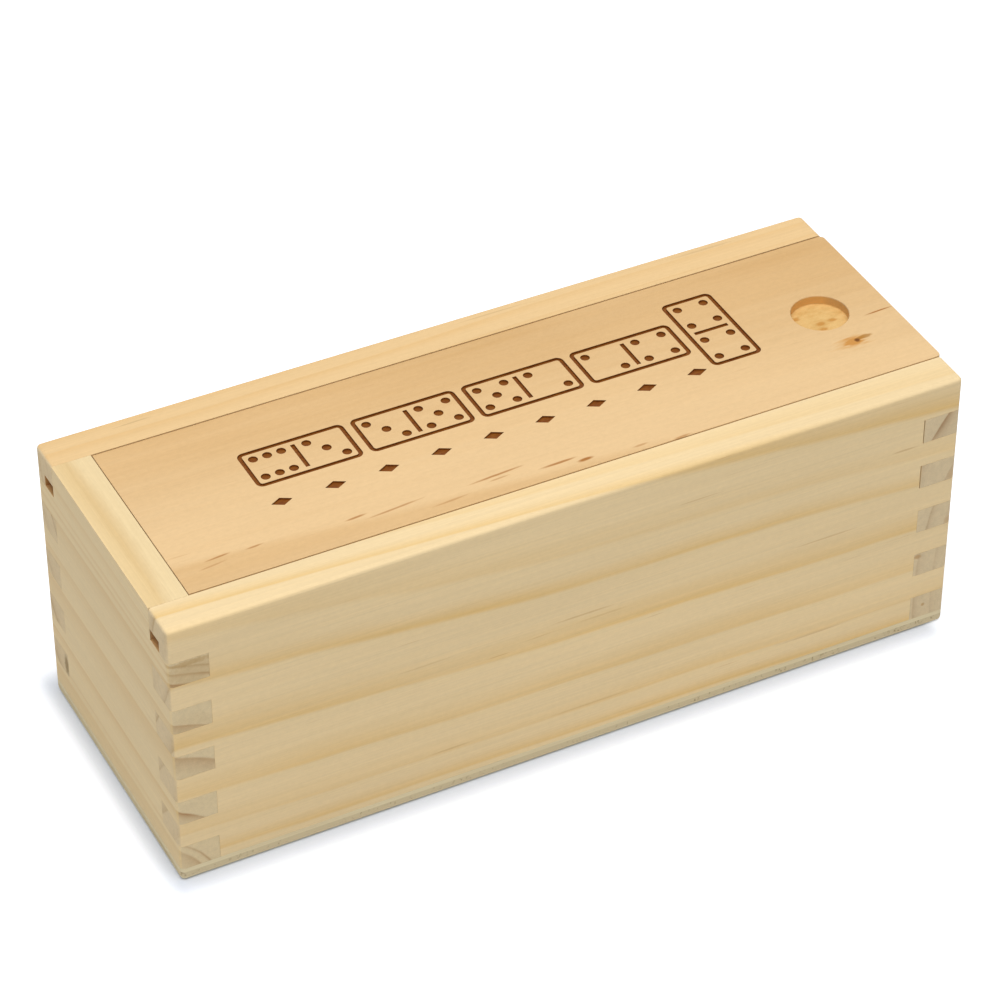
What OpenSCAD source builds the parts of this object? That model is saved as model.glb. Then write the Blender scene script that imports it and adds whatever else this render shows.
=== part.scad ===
// Finger-jointed wooden storage box for a set of dominoes, with a plywood base and a sliding lid.
// Millimetres. The origin is the middle of the underside, +Z is up, and the lid slides out to +X.
// The front is at -Y. The boards meet face to face, and only the lid has clearances.

/* [Box] */
// Length over the two end boards
box_l = 167; // [150:1:220]
// Width over the two side boards
box_w = 62; // [52:1:90]
// Height from the underside of the base to the top of the walls
box_h = 61; // [50:1:100]
// Thickness of the long side boards
side_t = 8; // [6:0.5:12]
// Thickness of the short end boards
end_t = 8; // [6:0.5:12]
// Thickness of the plywood base
base_t = 3; // [2:0.5:6]

/* [Finger joints] */
// Fingers on each upright edge of an end board
finger_n = 5; // [3:1:8]

/* [Sanded edges] */
// Radius of the upright corners of the box
corner_r = 1; // [0.3:0.1:2]
// Radius of the edges round the top
top_r = 0.8; // [0.3:0.1:1.5]
// Radius of the edges round the underside
foot_r = 1; // [0.3:0.1:1.5]

/* [Lid groove] */
// Height of the lip that the walls keep above the groove
lip_h = 4.8; // [3:0.1:6]
// Height of the groove
groove_h = 2.7; // [2:0.1:6]
// Depth of the groove into the walls
groove_d = 4.2; // [3:0.1:5]

/* [Lid] */
// Gap between the lid and the lips at its sides
seam_gap = 0.4; // [0.2:0.1:0.8]
// Gap between the lid and the closed end when it is shut
shut_gap = 0.3; // [0.1:0.1:0.8]
// Gap between the edge of the tongue and the bottom of the groove
tongue_gap = 0.4; // [0.2:0.1:0.8]
// Play under the lid and over its tongue
slide_gap = 0.15; // [0.05:0.05:0.3]
// How far the free end of the lid stands out past the walls
lid_proud = 0.2; // [0:0.1:2]
// Diameter of the finger recess
recess_d = 11.5; // [8:0.5:20]
// Depth of the finger recess
recess_h = 2; // [1:0.5:4]
// Distance from the free end of the lid to the middle of the recess
recess_in = 14; // [10:0.1:25]

/* [Engraved dominoes] */
// Tiles laid end to end before the crosswise double
tile_n = 4; // [1:1:4]
// Length of a tile
tile_l = 22; // [18:0.5:22]
// Width of a tile
tile_w = 11; // [9:0.5:11]
// Radius of a tile's corners
tile_r = 1.4; // [0.5:0.1:2]
// Gap between two tiles
tile_gap = 1.5; // [1:0.1:1.8]
// Width of the engraved lines
line_w = 0.9; // [0.5:0.1:1.2]
// Diameter of a pip
pip_d = 1.9; // [1:0.1:2]
// Distance from the edges of a half tile to its outer pips
pip_in = 2.6; // [2:0.1:3]
// Depth of the engraving
cut_h = 0.4; // [0.2:0.1:1]
// Distance from the middle of the box to the middle of the chain, towards the free end
chain_out = 1; // [-6:0.5:2]
// Distance from the middle of the lid to the middle of the chain, towards the back
chain_up = 5; // [-4:0.5:5]
// Lozenges in the row below the chain
lozenge_n = 9; // [1:1:9]
// Length of a lozenge
lozenge_l = 4.4; // [2:0.2:5]
// Width of a lozenge
lozenge_w = 2.4; // [1:0.2:3]
// Distance between two lozenges
lozenge_step = 11; // [6:0.5:11]
// Distance from the chain to the middle of the row
lozenge_down = 5.5; // [3:0.5:6]

/* [Hidden] */
$fn = 64;
over = 1; // how far a cutter reaches past what it cuts

lid_t = lip_h + groove_h;
wall_h = box_h - base_t;
lid_floor = box_h - lid_t; // top of the low end board and bottom of the groove
finger_h = (wall_h - lid_t) / (2 * finger_n - 1);
inner_l = box_l - 2 * end_t;
inner_w = box_w - 2 * side_t;

lid_x0 = -inner_l / 2 + shut_gap;
lid_x1 = box_l / 2 + lid_proud;
lid_w = inner_w - 2 * seam_gap;
tongue_out = groove_d - tongue_gap; // how far the tongue reaches into the wall
tongue_w = inner_w + 2 * tongue_out;
tongue_x0 = -inner_l / 2 - tongue_out;

tile_pitch = tile_l + tile_gap;
chain_l = tile_n * tile_pitch + tile_w;
chain_x = chain_out - chain_l / 2; // where the first tile starts
double_x = chain_x + chain_l - tile_w / 2;
row_y = chain_up - tile_w / 2 - lozenge_down;
pip_step = [tile_l / 4 - pip_in, tile_w / 2 - pip_in]; // from the middle pip to the outer ones

// Pips of each half tile, 1 to 6, as columns and rows of a three by three grid
spots = [
    [[0, 0]],
    [[-1, 1], [1, -1]],
    [[-1, 1], [0, 0], [1, -1]],
    [[-1, -1], [-1, 1], [1, -1], [1, 1]],
    [[-1, -1], [-1, 1], [0, 0], [1, -1], [1, 1]],
    [[-1, -1], [0, -1], [1, -1], [-1, 1], [0, 1], [1, 1]],
];
// The chain, each tile matching the one before it, and the value of the double that ends it
chain = [[6, 3], [3, 5], [5, 2], [2, 4]];
double_value = 4;

// Rectangle with round corners, centred
module rounded_rect(x, y, r) {
    square([x - 2 * r, y], center = true);
    square([x, y - 2 * r], center = true);
    for (i = [-1, 1], j = [-1, 1])
        translate([i * (x / 2 - r), j * (y / 2 - r)])
            circle(r);
}

// The outside of the closed box with its sanded edges
module sanded_block() {
    intersection() {
        linear_extrude(box_h)
            rounded_rect(box_l, box_w, corner_r);
        translate([-box_l / 2, 0, 0])
            rotate([90, 0, 90])
                linear_extrude(box_l)
                    wall_outline(box_w);
        translate([0, box_w / 2, 0])
            rotate([90, 0, 0])
                linear_extrude(box_w)
                    wall_outline(box_l);
    }
}

// Upright outline of the box, with the top and bottom edges eased
module wall_outline(w) {
    translate([-w / 2, foot_r])
        square([w, box_h - foot_r - top_r]);
    translate([foot_r - w / 2, 0])
        square([w - 2 * foot_r, box_h / 2]);
    translate([top_r - w / 2, box_h / 2])
        square([w - 2 * top_r, box_h / 2]);
    for (i = [-1, 1]) {
        translate([i * (w / 2 - foot_r), foot_r])
            circle(foot_r);
        translate([i * (w / 2 - top_r), box_h - top_r])
            circle(top_r);
    }
}

// The fingers of one end board, as bars right across the box; end is -1 at the closed end, 1 at the low end
module finger_bars(end) {
    for (i = [0 : finger_n - 1])
        translate([end < 0 ? -box_l / 2 : inner_l / 2, -box_w / 2, base_t + 2 * i * finger_h])
            cube([end_t, box_w, finger_h]);
}

// One long side board with its sockets and its lid groove; side is -1 at the front, 1 at the back
module side_board(side) {
    y_low = side < 0 ? -box_w / 2 : inner_w / 2;
    groove_y = side < 0 ? -inner_w / 2 - groove_d : inner_w / 2 - over;
    intersection() {
        difference() {
            translate([-box_l / 2, y_low, base_t])
                cube([box_l, side_t, wall_h]);
            finger_bars(-1);
            finger_bars(1);
            translate([-box_l / 2 - over, groove_y, lid_floor])
                cube([box_l + 2 * over, groove_d + over, groove_h]);
        }
        sanded_block();
    }
}

module front_side() {
    color("wheat") side_board(-1);
}

module back_side() {
    color("wheat") side_board(1);
}

// The end that stops the lid: full height, grooved inside for the tongue
module closed_end() {
    color("burlywood") intersection() {
        difference() {
            union() {
                translate([-box_l / 2, -inner_w / 2, base_t])
                    cube([end_t, inner_w, wall_h]);
                finger_bars(-1);
            }
            translate([-inner_l / 2 - groove_d, -inner_w / 2 - over, lid_floor])
                cube([groove_d + over, inner_w + 2 * over, groove_h]);
        }
        sanded_block();
    }
}

// The end that the lid slides out over
module low_end() {
    color("burlywood") intersection() {
        union() {
            translate([inner_l / 2, -inner_w / 2, base_t])
                cube([end_t, inner_w, lid_floor - base_t]);
            finger_bars(1);
        }
        sanded_block();
    }
}

// Plywood sheet glued under the four boards
module base_plate() {
    color("tan") intersection() {
        translate([-box_l / 2, -box_w / 2, 0])
            cube([box_l, box_w, base_t]);
        sanded_block();
    }
}

// Lid seen from above, its two free corners rounded
module lid_plan(x0, w) {
    translate([x0, -w / 2])
        square([lid_x1 - corner_r - x0, w]);
    translate([x0, corner_r - w / 2])
        square([lid_x1 - x0, w - 2 * corner_r]);
    for (j = [-1, 1])
        translate([lid_x1 - corner_r, j * (w / 2 - corner_r)])
            circle(corner_r);
}

// Pips of one half tile, centred on it
module pips(value) {
    for (s = spots[value - 1])
        translate([s[0] * pip_step[0], s[1] * pip_step[1]])
            circle(pip_d / 2);
}

// One tile: its outline, the bar across the middle and its pips
module tile(left, right) {
    difference() {
        rounded_rect(tile_l, tile_w, tile_r);
        rounded_rect(tile_l - 2 * line_w, tile_w - 2 * line_w, tile_r / 2);
    }
    square([line_w, tile_w - 4 * line_w], center = true);
    translate([-tile_l / 4, 0]) pips(left);
    translate([tile_l / 4, 0]) pips(right);
}

// The chain of dominoes with a crosswise double, and the row of lozenges below it
module engraving() {
    for (i = [0 : tile_n - 1])
        translate([chain_x + i * tile_pitch + tile_l / 2, chain_up])
            tile(chain[i][0], chain[i][1]);
    translate([double_x, chain_up])
        rotate(90)
            tile(double_value, double_value);
    for (i = [0 : lozenge_n - 1])
        translate([chain_x + lozenge_l / 2 + i * lozenge_step, row_y])
            polygon([[-lozenge_l / 2, 0], [0, -lozenge_w / 2], [lozenge_l / 2, 0], [0, lozenge_w / 2]]);
}

// Board with a tongue on three sides, which runs in the grooves
module lid() {
    color("sandybrown") difference() {
        union() {
            translate([0, 0, lid_floor + slide_gap])
                linear_extrude(lid_t - slide_gap)
                    lid_plan(lid_x0, lid_w);
            translate([0, 0, lid_floor + slide_gap])
                linear_extrude(groove_h - 2 * slide_gap)
                    lid_plan(tongue_x0, tongue_w);
        }
        translate([lid_x1 - recess_in, 0, box_h - recess_h])
            cylinder(h = recess_h + over, d = recess_d);
        translate([0, 0, box_h - cut_h])
            linear_extrude(cut_h + over)
                engraving();
    }
}

front_side();
back_side();
closed_end();
low_end();
base_plate();
lid();
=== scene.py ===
import math

import bmesh
import bpy
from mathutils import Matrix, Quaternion, Vector


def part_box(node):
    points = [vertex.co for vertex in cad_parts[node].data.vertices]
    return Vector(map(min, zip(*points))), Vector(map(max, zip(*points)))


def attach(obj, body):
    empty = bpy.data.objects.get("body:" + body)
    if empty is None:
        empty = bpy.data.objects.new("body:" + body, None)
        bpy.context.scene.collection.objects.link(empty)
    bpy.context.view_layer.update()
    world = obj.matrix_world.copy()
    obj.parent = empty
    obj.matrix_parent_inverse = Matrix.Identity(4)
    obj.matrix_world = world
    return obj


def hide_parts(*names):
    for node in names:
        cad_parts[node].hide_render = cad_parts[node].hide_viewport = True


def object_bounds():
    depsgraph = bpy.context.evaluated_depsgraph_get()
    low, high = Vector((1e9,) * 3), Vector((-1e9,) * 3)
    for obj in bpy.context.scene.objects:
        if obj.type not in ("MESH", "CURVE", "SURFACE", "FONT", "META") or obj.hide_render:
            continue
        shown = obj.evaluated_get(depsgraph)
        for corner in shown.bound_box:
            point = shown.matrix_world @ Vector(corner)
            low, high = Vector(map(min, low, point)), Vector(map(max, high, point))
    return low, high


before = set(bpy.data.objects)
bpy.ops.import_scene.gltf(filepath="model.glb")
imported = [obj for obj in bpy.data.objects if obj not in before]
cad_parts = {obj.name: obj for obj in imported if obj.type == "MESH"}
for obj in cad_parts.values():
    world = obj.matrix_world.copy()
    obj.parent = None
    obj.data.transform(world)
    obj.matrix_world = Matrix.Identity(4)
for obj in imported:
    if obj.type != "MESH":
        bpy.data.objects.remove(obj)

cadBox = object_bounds()
mm = 0.001
sharpAngle = math.radians(40)  # an edge that turns by more than this is sharp

# What the boards share. The fingers, the groove and the rounded edges are those of the CAD model.
joinery = {
    "fingers": 5,  # of an end board, on each upright edge
    "grooveHeight": 2.7 * mm,
    "grooveDepth": 4.2 * mm,
    "cornerRadius": 1 * mm,  # upright corners of the box
    "topRadius": 0.8 * mm,  # round the top of the box
    "footRadius": 1 * mm,  # round the underside
    "arris": 0.08 * mm,  # every other edge is only just broken
    "socketPlay": 0.2 * mm,  # the two upper sockets at the low end are cut this much too deep
    "scorchAndShade": (0.74, 0.55, 0.40),  # what the groove's ends keep of the wood's colour: the cutter's scorch and painted shade inside the hole
    "scorchAndShadeReach": 3.5,  # mm by which that goes on inside the closed end
}

boxLow, boxHigh = cadBox
sideLow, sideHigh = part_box("front_side")
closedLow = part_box("closed_end")[0]
openLow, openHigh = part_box("low_end")
baseLow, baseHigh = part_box("base_plate")
lidLow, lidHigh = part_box("lid")

wallFoot = sideLow.z
wallTop = sideHigh.z
grooveFloor = openHigh.z
grooveTop = grooveFloor + joinery["grooveHeight"]
halfLength = sideHigh.x  # of the box, outside
halfWidth = -sideLow.y
innerHalfLength = openLow.x
innerHalfWidth = -sideHigh.y
fingerHeight = (grooveFloor - wallFoot) / (2 * joinery["fingers"] - 1)
fingerLevels = [wallFoot + i * fingerHeight for i in range(2 * joinery["fingers"])]


# Small steps of modelling that every piece uses

def near(a, b):
    return abs(a - b) < 1e-6


def addFace(bm, points):
    return bm.faces.new([bm.verts.new(p) for p in points])


# Extrudes flat faces into solids
def pushOut(bm, faces, offset):
    grown = bmesh.ops.extrude_face_region(bm, geom=faces)["geom"]
    bmesh.ops.translate(bm, vec=offset, verts=[v for v in grown if isinstance(v, bmesh.types.BMVert)])


# Extrudes faces of a solid, which leaves none of them inside it
def growOut(bm, faces, offset):
    pushOut(bm, faces, offset)
    bmesh.ops.delete(bm, geom=faces, context="FACES")


def cutThrough(bm, point, normal):
    everything = bm.verts[:] + bm.edges[:] + bm.faces[:]
    bmesh.ops.bisect_plane(bm, geom=everything, dist=1e-7, plane_co=point, plane_no=normal)


# Merges what lies in one plane and turns every face outwards
def cleanUp(bm):
    bmesh.ops.remove_doubles(bm, verts=bm.verts, dist=1e-7)
    bmesh.ops.dissolve_limit(bm, angle_limit=math.radians(0.5), verts=bm.verts, edges=bm.edges)
    bmesh.ops.recalc_face_normals(bm, faces=bm.faces)


def edgesAlong(bm, axis, test):
    found = []
    for edge in bm.edges:
        run = edge.verts[1].co - edge.verts[0].co
        if abs(run[axis]) > 0.999 * run.length and all(test(v.co) for v in edge.verts):
            found.append(edge)
    return found


def roundOff(bm, edges, radius, segments):
    bmesh.ops.bevel(bm, geom=edges, offset=radius, offset_type="OFFSET", segments=segments,
                    profile=0.5, affect="EDGES", clamp_overlap=False, material=-1)


# Breaks every edge that is still sharp, but none that lies wholly at the height to keep
def breakArrises(bm, width, keep=None):
    sharp = [e for e in bm.edges if e.calc_face_angle(0) > sharpAngle
             and not (keep is not None and all(near(v.co.z, keep) for v in e.verts))]
    roundOff(bm, sharp, width, 2)


def atUprightCorner(co):
    return near(abs(co.x), halfLength) and near(abs(co.y), halfWidth)


def roundUprightCorners(bm):
    roundOff(bm, edgesAlong(bm, 2, atUprightCorner), joinery["cornerRadius"], 5)


# Rounds the top edges that lie on the box's outline, where both ends may be on a rounded corner. An edge
# whose ends are both in line with the lid's sides is left as it is.
def roundTop(bm):
    slack = joinery["cornerRadius"] + 1e-6

    def onOutline(ends):
        alongSide = all(abs(co.y) > halfWidth - slack for co in ends)
        alongEnd = all(abs(co.x) > halfLength - slack for co in ends)
        return alongSide or alongEnd

    rim = []
    for edge in bm.edges:
        ends = [v.co for v in edge.verts]
        atTop = all(near(co.z, wallTop) for co in ends)
        inLine = all(near(abs(co.y), innerHalfWidth) for co in ends)
        if atTop and not inLine and onOutline(ends) and edge.calc_face_angle(0) > sharpAngle:
            rim.append(edge)
    roundOff(bm, rim, joinery["topRadius"], 4)


def makePiece(bm, name, look, material):
    mesh = bpy.data.meshes.new(name)
    bm.to_mesh(mesh)
    bm.free()
    for polygon in mesh.polygons:
        polygon.use_smooth = True
    piece = bpy.data.objects.new(name, mesh)
    bpy.context.scene.collection.objects.link(piece)
    mesh.materials.append(material)
    smooth = piece.modifiers.new("EvenShading", "WEIGHTED_NORMAL")
    smooth.mode = "FACE_AREA"
    smooth.keep_sharp = True
    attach(piece, look["body"])
    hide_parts(look["node"])
    print("made", name, len(mesh.polygons), "faces")
    return piece


# Small steps of node building

def feed(tree, socket, value):
    if isinstance(value, bpy.types.NodeSocket):
        tree.links.new(value, socket)
    else:
        socket.default_value = value


def mathNode(tree, operation, first, second=0.0, third=0.0, clamp=False):
    node = tree.nodes.new("ShaderNodeMath")
    node.operation = operation
    node.use_clamp = clamp
    for socket, value in zip(node.inputs, (first, second, third)):
        feed(tree, socket, value)
    return node.outputs[0]


def vectorNode(tree, operation, first, second=(0, 0, 0), scale=None):
    node = tree.nodes.new("ShaderNodeVectorMath")
    node.operation = operation
    feed(tree, node.inputs[0], first)
    if scale is None:
        feed(tree, node.inputs[1], second)
    else:
        feed(tree, node.inputs["Scale"], scale)
    return node.outputs["Value" if operation == "LENGTH" else "Vector"]


def splitNode(tree, vector):
    node = tree.nodes.new("ShaderNodeSeparateXYZ")
    feed(tree, node.inputs[0], vector)
    return node.outputs


# Noise on a vector that is stretched first, from about -1 to 1, as a value or as a vector
def noiseNode(tree, vector, stretch, detail=2.0, roughness=0.5, asVector=False):
    node = tree.nodes.new("ShaderNodeTexNoise")
    feed(tree, node.inputs["Vector"], vectorNode(tree, "MULTIPLY", vector, stretch))
    node.inputs["Scale"].default_value = 1.0
    node.inputs["Detail"].default_value = detail
    node.inputs["Roughness"].default_value = roughness
    if asVector:
        centred = vectorNode(tree, "SUBTRACT", node.outputs["Color"], (0.5, 0.5, 0.5))
        return vectorNode(tree, "SCALE", centred, scale=2.0)
    return mathNode(tree, "MULTIPLY_ADD", node.outputs["Fac"], 2.0, -1.0)


# A value moved from one range to another with soft ends
def stepNode(tree, value, low, high, outLow=0.0, outHigh=1.0):
    node = tree.nodes.new("ShaderNodeMapRange")
    node.interpolation_type = "SMOOTHSTEP"
    feed(tree, node.inputs["Value"], value)
    feed(tree, node.inputs["From Min"], low)
    feed(tree, node.inputs["From Max"], high)
    feed(tree, node.inputs["To Min"], outLow)
    feed(tree, node.inputs["To Max"], outHigh)
    return node.outputs["Result"]


# The share of the way from one value to another
def rangeNode(tree, value, low, high):
    node = tree.nodes.new("ShaderNodeMapRange")
    feed(tree, node.inputs["Value"], value)
    node.inputs["From Min"].default_value = low
    node.inputs["From Max"].default_value = high
    return node.outputs["Result"]


def mixNode(tree, share, first, second):
    node = tree.nodes.new("ShaderNodeMix")
    node.data_type = "RGBA"
    feed(tree, node.inputs["Factor"], share)
    feed(tree, node.inputs[6], first)
    feed(tree, node.inputs[7], second)
    return node.outputs[2]


# A colour made lighter or darker by a share, where 0 leaves it as it is
def shadeNode(tree, colour, share, strength=1.0):
    return vectorNode(tree, "SCALE", colour, scale=mathNode(tree, "MULTIPLY_ADD", share, strength, 1.0))


def startGroup(name, inputs, outputs):
    group = bpy.data.node_groups.new(name, "ShaderNodeTree")
    for label, kind, value in inputs:
        socket = group.interface.new_socket(label, in_out="INPUT", socket_type=kind)
        if value is not None:
            socket.default_value = value
    for label, kind in outputs:
        group.interface.new_socket(label, in_out="OUTPUT", socket_type=kind)
    return group, group.nodes.new("NodeGroupInput").outputs, group.nodes.new("NodeGroupOutput").inputs


def useGroup(tree, group, **values):
    node = tree.nodes.new("ShaderNodeGroup")
    node.node_tree = group
    for label, value in values.items():
        feed(tree, node.inputs[label], value)
    return node.outputs


floatKind = "NodeSocketFloat"
vectorKind = "NodeSocketVector"
colourKind = "NodeSocketColor"


# How fine each pattern in the wood is: cells per mm along the grain, across it and up
woodPatterns = {
    "slowWave": (0.014, 0.035, 0.035),
    "quickWave": (0.05, 0.2, 0.2),
    "fibre": (0.02, 2.6, 2.6),
    "strand": (0.012, 0.55, 0.55),
    "broad": (0.012, 0.06, 0.06),
    "patch": (0.8, 1.3, 1.3),
    "canal": (0.075, 2.1, 2.1),
    "region": (0.02, 0.12, 0.12),
    "pore": (0.5, 5.0, 5.0),
    "sawn": (0.3, 0.9, 0.9),
    "ragged": (0.3, 1.6, 1.6),
    "wear": (0.12, 0.12, 0.12),
    "years": (0.022, 0.09, 0.09),
}


# Distance from the heart of the tree, in mm, which wavers along the grain. The grain runs along X.
def makeTreeRings():
    group, given, result = startGroup(
        "treeRings",
        [("Vector", vectorKind, None), ("Heart", vectorKind, None), ("Lean", vectorKind, None),
         ("Waver", floatKind, 1.0)],
        [("Radius", floatKind)])
    split = splitNode(group, given["Vector"])
    slow = noiseNode(group, given["Vector"], woodPatterns["slowWave"], detail=1.0, asVector=True)
    quick = noiseNode(group, given["Vector"], woodPatterns["quickWave"], detail=2.0, asVector=True)
    wave = vectorNode(group, "ADD", slow, vectorNode(group, "SCALE", quick, scale=0.3))
    wave = vectorNode(group, "SCALE", wave, scale=given["Waver"])
    lean = vectorNode(group, "SCALE", given["Lean"], scale=split[0])
    offset = vectorNode(group, "SUBTRACT", given["Vector"], given["Heart"])
    offset = vectorNode(group, "SUBTRACT", offset, lean)
    offset = vectorNode(group, "ADD", offset, wave)
    across = vectorNode(group, "MULTIPLY", offset, (0, 1, 1))
    feed(group, result["Radius"], vectorNode(group, "LENGTH", across))
    return group


# Sanded pine from how dark the year's wood is at a point, with the grain along X
def makePineSurface():
    group, given, result = startGroup(
        "pineSurface",
        [("Vector", vectorKind, None), ("Ring", floatKind, 0.0), ("End", floatKind, 0.0),
         ("Early", colourKind, None), ("Late", colourKind, None),
         ("EndEarly", colourKind, None), ("EndLate", colourKind, None),
         ("Fibre", floatKind, 0.04), ("Mottle", floatKind, 0.03), ("Resin", floatKind, 0.5)],
        [("Color", colourKind), ("Roughness", floatKind), ("Height", floatKind)])
    vector = given["Vector"]
    fibre = noiseNode(group, vector, woodPatterns["fibre"], detail=3.0, roughness=0.65)
    strand = noiseNode(group, vector, woodPatterns["strand"], detail=2.0)
    broad = noiseNode(group, vector, woodPatterns["broad"], detail=1.0)
    patch = noiseNode(group, vector, woodPatterns["patch"], detail=3.0, roughness=0.75)

    ring = mathNode(group, "MULTIPLY_ADD", strand, 0.16, given["Ring"], clamp=True)
    flat = mixNode(group, ring, given["Early"], given["Late"])
    flat = shadeNode(group, flat, fibre, given["Fibre"])
    flat = shadeNode(group, flat, patch, given["Mottle"])
    flat = shadeNode(group, flat, broad, 0.06)

    # short brown resin lines, mostly where the year's wood is dark
    canal = noiseNode(group, vector, woodPatterns["canal"], detail=1.0)
    region = noiseNode(group, vector, woodPatterns["region"], detail=1.0)
    canal = stepNode(group, mathNode(group, "MULTIPLY_ADD", region, 0.35, canal), 0.5, 0.72)
    canal = mathNode(group, "MULTIPLY", canal, given["Resin"])
    resin = vectorNode(group, "MULTIPLY", given["Late"], (0.72, 0.55, 0.4))
    flat = mixNode(group, canal, flat, resin)

    pore = noiseNode(group, vector, woodPatterns["pore"], detail=2.0, roughness=0.7)
    sawn = noiseNode(group, vector, woodPatterns["sawn"], detail=2.0)
    narrow = mathNode(group, "MULTIPLY", mathNode(group, "POWER", given["Ring"], 3.0), 0.65)
    narrow = mathNode(group, "MULTIPLY_ADD", given["Ring"], 0.35, narrow)
    end = mixNode(group, narrow, given["EndEarly"], given["EndLate"])
    end = shadeNode(group, end, pore, 0.13)
    end = shadeNode(group, end, sawn, 0.10)
    feed(group, result["Color"], mixNode(group, given["End"], flat, end))

    rough = mathNode(group, "MULTIPLY_ADD", given["Ring"], -0.08, 0.62)
    rough = mathNode(group, "MULTIPLY_ADD", fibre, 0.05, rough)
    rough = mathNode(group, "MULTIPLY_ADD", given["End"], 0.14, rough)
    feed(group, result["Roughness"], rough)

    grain = mathNode(group, "MULTIPLY_ADD", fibre, 0.35, mathNode(group, "MULTIPLY", given["Ring"], 0.4))
    grain = mathNode(group, "MULTIPLY_ADD", canal, -0.8, grain)
    rugged = mathNode(group, "MULTIPLY_ADD", pore, 0.9, mathNode(group, "MULTIPLY", sawn, 0.5))
    height = group.nodes.new("ShaderNodeMix")
    feed(group, height.inputs[0], given["End"])
    feed(group, height.inputs[2], grain)
    feed(group, height.inputs[3], rugged)
    feed(group, result["Height"], height.outputs[0])
    return group


# One mark in the wood, such as a knot or a dash of resin: 1 at its middle, 0 outside
def makeWoodMark():
    group, given, result = startGroup(
        "woodMark",
        [("Vector", vectorKind, None), ("Place", vectorKind, None), ("Size", vectorKind, (1, 1, 1)),
         ("Slope", floatKind, 0.0), ("Ragged", floatKind, 0.3)],
        [("Mask", floatKind)])
    ragged = noiseNode(group, given["Vector"], woodPatterns["ragged"], detail=2.0)
    offset = vectorNode(group, "SUBTRACT", given["Vector"], given["Place"])
    split = splitNode(group, offset)
    lean = group.nodes.new("ShaderNodeCombineXYZ")
    drop = mathNode(group, "MULTIPLY", split[0], given["Slope"])
    feed(group, lean.inputs[1], drop)
    offset = vectorNode(group, "SUBTRACT", offset, lean.outputs[0])
    reach = vectorNode(group, "LENGTH", vectorNode(group, "DIVIDE", offset, given["Size"]))
    reach = mathNode(group, "MULTIPLY_ADD", ragged, given["Ragged"], reach)
    feed(group, result["Mask"], stepNode(group, reach, 0.35, 1.0, 1.0, 0.0))
    return group


# Handled edges: 1 on the long outer edges of the box, fading within a millimetre, broken up by noise
def makeEdgeWear():
    group, given, result = startGroup(
        "edgeWear",
        [("Vector", vectorKind, None), ("Middle", vectorKind, None), ("Half", vectorKind, None),
         ("Width", floatKind, 1.2)],
        [("Mask", floatKind)])
    offset = vectorNode(group, "ABSOLUTE", vectorNode(group, "SUBTRACT", given["Vector"], given["Middle"]))
    inside = vectorNode(group, "SUBTRACT", given["Half"], offset)
    split = splitNode(group, inside)
    close = [stepNode(group, axis, 0.0, given["Width"], 1.0, 0.0) for axis in split]
    pairs = [mathNode(group, "MULTIPLY", close[i], close[j]) for i, j in ((0, 1), (0, 2), (1, 2))]
    most = mathNode(group, "MAXIMUM", mathNode(group, "MAXIMUM", pairs[0], pairs[1]), pairs[2])
    broken = noiseNode(group, given["Vector"], woodPatterns["wear"], detail=3.0)
    broken = stepNode(group, broken, -0.4, 0.5, 0.35, 1.0)
    feed(group, result["Mask"], mathNode(group, "MULTIPLY", most, broken))
    return group


treeRings = makeTreeRings()
pineSurface = makePineSurface()
woodMark = makeWoodMark()
edgeWear = makeEdgeWear()
print("made the wood's node groups")


# Dark edge of each year: the colour deepens slowly outwards and then stops short
def ringRamp(tree, radius, look):
    spread = look["spread"]
    rise, power = look["rise"]
    lowest = look["rings"][0][0] - 9.0
    highest = look["rings"][-1][0] + 3.0
    node = tree.nodes.new("ShaderNodeValToRGB")
    feed(tree, node.inputs["Fac"], rangeNode(tree, radius, lowest, highest))
    points = [(lowest, 0.0)]
    before = lowest
    for edge, dark in look["rings"]:
        points.append((edge - rise * (edge - before), 0.0))
        points.append((edge - spread * 0.25, dark))
        points.append((edge + spread * 0.25, 0.0))
        before = edge
    ramp = node.color_ramp
    while len(ramp.elements) < len(points):
        ramp.elements.new(1.0)
    for element, (at, dark) in zip(ramp.elements, points):
        element.position = min(1.0, max(0.0, (at - lowest) / (highest - lowest)))
        element.color = (dark, dark, dark, 1.0)
    return mathNode(tree, "POWER", node.outputs["Color"], power)


# Object coordinates in mm, turned so that the grain runs along X
def grainVector(tree, grain):
    place = tree.nodes.new("ShaderNodeTexCoord")
    turn = tree.nodes.new("ShaderNodeMapping")
    feed(tree, turn.inputs["Vector"], place.outputs["Object"])
    turn.inputs["Scale"].default_value = (1000, 1000, 1000)
    if grain == "Y":
        turn.inputs["Rotation"].default_value = (0, 0, -math.pi / 2)
    split = splitNode(tree, place.outputs["Normal"])
    facing = mathNode(tree, "ABSOLUTE", split[grain])
    return turn.outputs["Vector"], stepNode(tree, facing, 0.55, 0.85)


def startMaterial(name):
    material = bpy.data.materials.new(name)
    material.use_nodes = True
    tree = material.node_tree
    shader = tree.nodes["Principled BSDF"]
    shader.inputs["IOR"].default_value = 1.45
    shader.inputs["Specular IOR Level"].default_value = 0.3
    return material, tree, shader


def addRelief(tree, shader, height, depth):
    bump = tree.nodes.new("ShaderNodeBump")
    bump.inputs["Strength"].default_value = 1.0
    bump.inputs["Distance"].default_value = depth
    feed(tree, bump.inputs["Height"], height)
    feed(tree, shader.inputs["Normal"], bump.outputs["Normal"])
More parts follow.
